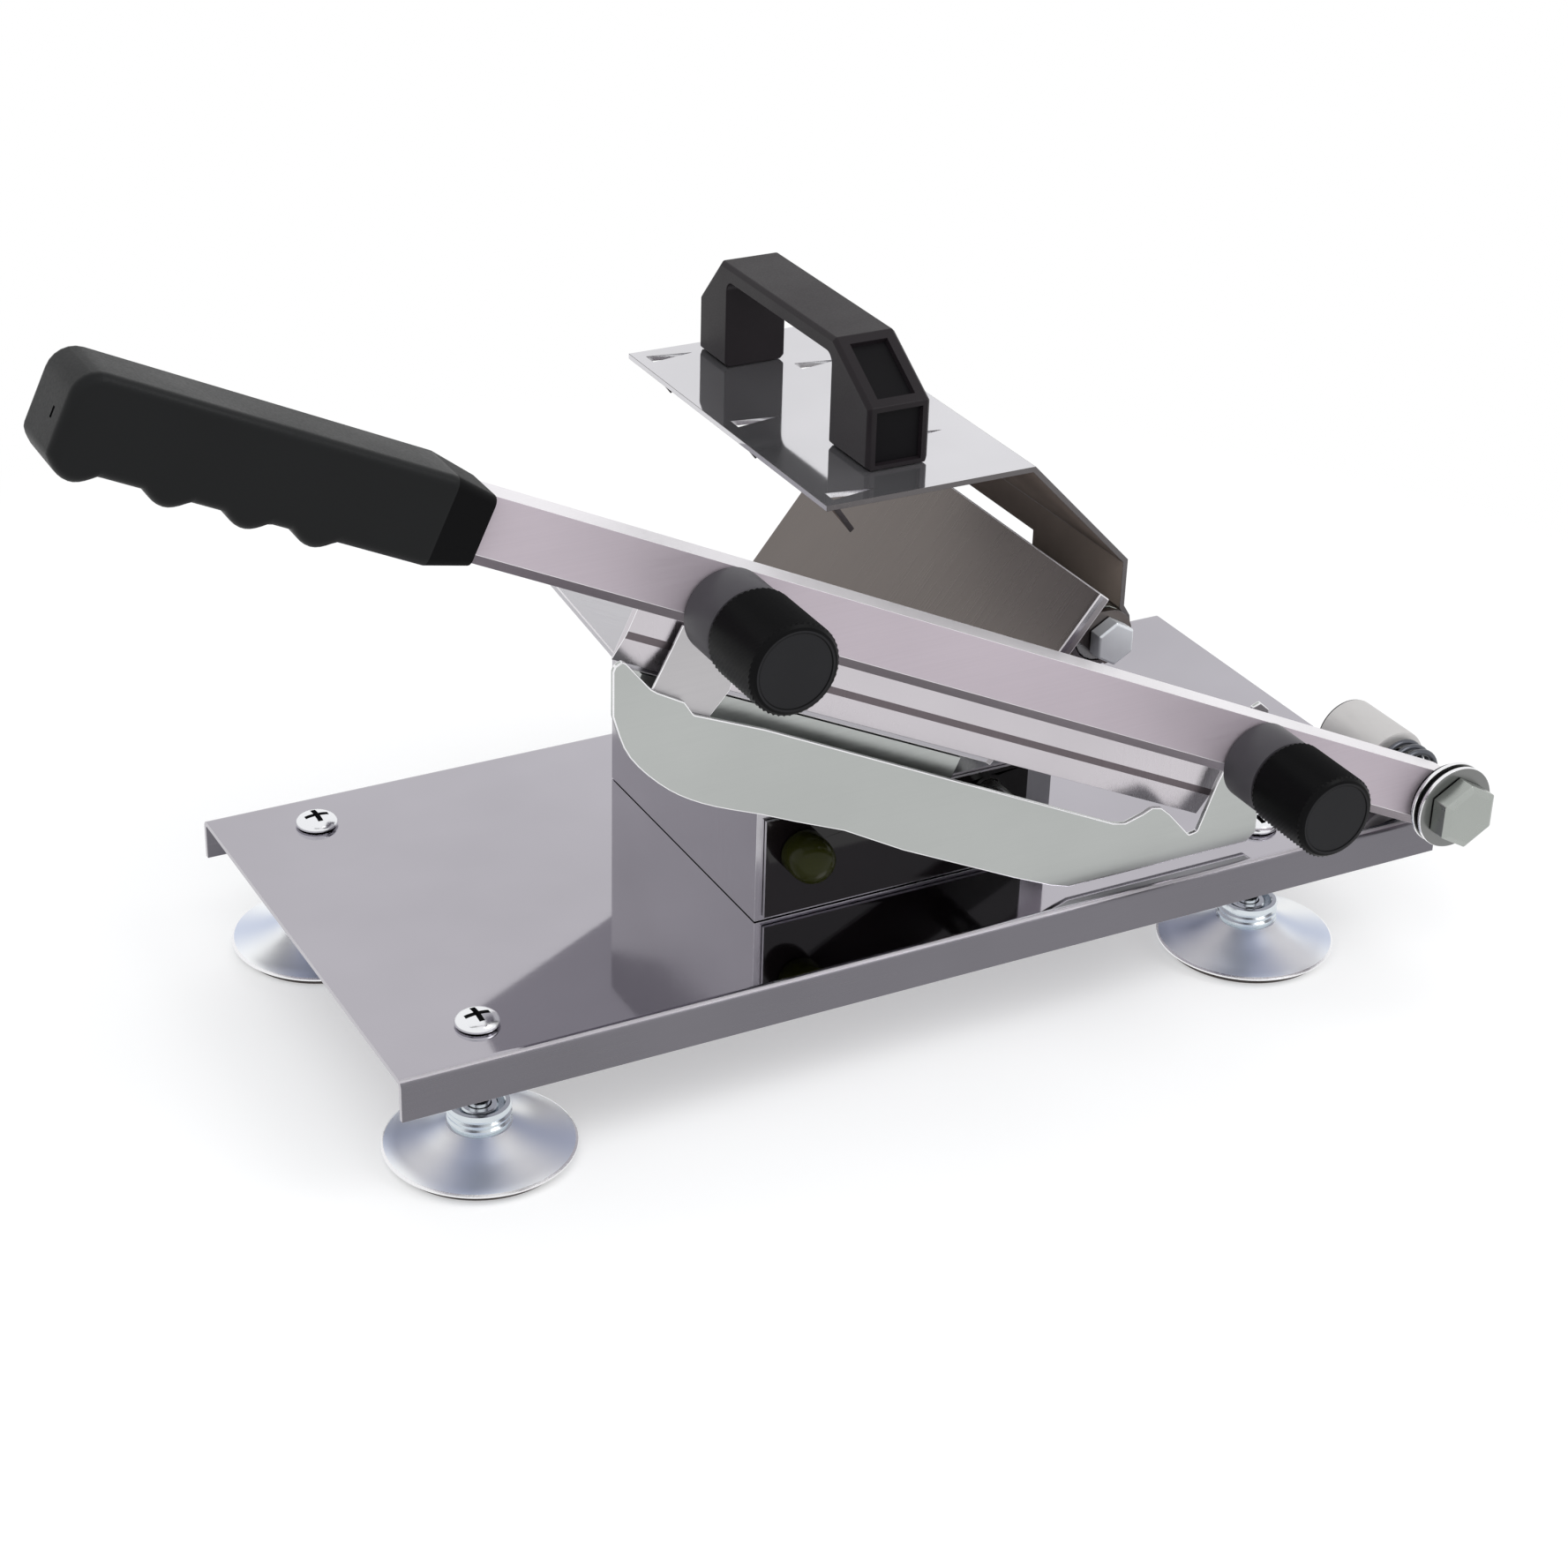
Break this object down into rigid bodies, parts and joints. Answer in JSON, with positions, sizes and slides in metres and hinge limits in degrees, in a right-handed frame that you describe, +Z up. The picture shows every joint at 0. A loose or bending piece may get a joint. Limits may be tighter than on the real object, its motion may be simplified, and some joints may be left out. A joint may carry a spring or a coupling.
{
  "type": "frozen meat slicer",
  "caption": "Manual lever slicer: pivoting arm with bolted blade over a sloping tray, toothed press plate on a rod, screw-set stop plate, pedestal on a flanged base",
  "frame": {"origin": "middle of the underside of the whole slicer's box, on the table", "axes": "+X to the right along the base plate and the arm's length, +Y to the back, +Z up"},
  "size_m": [0.4034, 0.2028, 0.2412],
  "materials": {
    "sheet_steel": "satin stainless sheet",
    "plate_steel": "fine brushed stainless plate",
    "arm_steel": "satin drawn bar",
    "blade_steel": "ground blade steel",
    "bright_steel": "mirror bright stainless",
    "zinc": "bluish zinc plating",
    "bolt_steel": "plain bolt steel",
    "spring_steel": "dark oiled spring wire",
    "black_plastic": "satin black moulding",
    "knob_plastic": "matt black moulding with fine knurl",
    "panel_black": "bare glossy black panel",
    "pad_rubber": "dark rubber pad"
  },
  "bodies": {
    "frame": {"base_plate": "sheet_steel", "pedestal": "sheet_steel", "label_panel": "panel_black", "meat_tray": "sheet_steel", "shear_strip": "plate_steel", "press_rod": "bright_steel", "rod_bracket_front": "sheet_steel", "rod_bracket_rear": "sheet_steel", "rod_bolt_front": "bolt_steel", "rod_bolt_rear": "bolt_steel", "pivot_bolt": "bolt_steel", "pivot_washer_front_1": "zinc", "pivot_washer_front_2": "zinc", "pivot_spring": "spring_steel", "pivot_tube": "zinc", "pivot_saddle": "sheet_steel", "pivot_washer_back": "zinc", "pivot_nut": "bolt_steel", "foot_screw_front_left": "bright_steel", "foot_nut_front_left": "bolt_steel", "foot_front_left": "zinc", "foot_pad_front_left": "pad_rubber", "foot_screw_front_right": "bright_steel", "foot_nut_front_right": "bolt_steel", "foot_front_right": "zinc", "foot_pad_front_right": "pad_rubber", "foot_screw_rear_left": "bright_steel", "foot_nut_rear_left": "bolt_steel", "foot_rear_left": "zinc", "foot_pad_rear_left": "pad_rubber", "foot_screw_rear_right": "bright_steel", "foot_nut_rear_right": "bolt_steel", "foot_rear_right": "zinc", "foot_pad_rear_right": "pad_rubber"},
    "arm": {"arm_bar": "arm_steel", "handle_grip": "black_plastic", "handle_pin": "bolt_steel", "blade": "blade_steel", "knob_sleeve_left": "knob_plastic", "knob_sleeve_right": "knob_plastic", "blade_spacer_left": "bolt_steel", "blade_spacer_right": "bolt_steel", "blade_bolt_left": "bolt_steel", "blade_bolt_right": "bolt_steel"},
    "left_knob": {"blade_knob_left": "knob_plastic"},
    "right_knob": {"blade_knob_right": "knob_plastic"},
    "adjuster": {"thickness_knob": "knob_plastic", "adjusting_screw": "bolt_steel"},
    "slice_stop": {"front_plate": "plate_steel", "blade_guide": "plate_steel", "carriage": "sheet_steel", "guide_rod_upper": "bolt_steel", "guide_rod_lower": "bolt_steel"},
    "press_carrier": {"press_bush": "bolt_steel"},
    "press": {"press_plate": "bright_steel", "press_handle": "black_plastic", "press_handle_screw_1": "bolt_steel", "press_handle_screw_2": "bolt_steel"}
  },
  "joints": [
    {"name": "arm_swing", "type": "hinge", "parent": "frame", "child": "arm", "pos_m": [0.18937, -0.0603, 0.0509], "axis": [0, 1, 0], "range_deg": [-2.5, 70]},
    {"name": "left_knob_turn", "type": "hinge", "parent": "arm", "child": "left_knob", "pos_m": [-0.0404, -0.09, 0.15591], "axis": [0, 1, 0], "continuous": true},
    {"name": "right_knob_turn", "type": "hinge", "parent": "arm", "child": "right_knob", "pos_m": [0.1222, -0.09, 0.0787], "axis": [0, 1, 0], "continuous": true},
    {"name": "thickness_turn", "type": "hinge", "parent": "frame", "child": "adjuster", "pos_m": [0.00487, -0.0311, 0.0585], "axis": [0, 1, 0], "range_deg": [-288, 2016]},
    {"name": "stop_slide", "type": "slide", "parent": "frame", "child": "slice_stop", "axis": [0, -1, 0], "range_m": [-0.001, 0.007]},
    {"name": "press_slide", "type": "slide", "parent": "frame", "child": "press_carrier", "axis": [0, 1, 0], "range_m": [0, 0.07]},
    {"name": "press_swing", "type": "hinge", "parent": "press_carrier", "child": "press", "pos_m": [0.09437, -0.0046, 0.1055], "axis": [0, 1, 0], "range_deg": [-26, 100]}
  ],
  "couplings": [
    {"joint": "thickness_turn", "follows": "stop_slide", "rad_per_m": 5026.5}
  ]
}
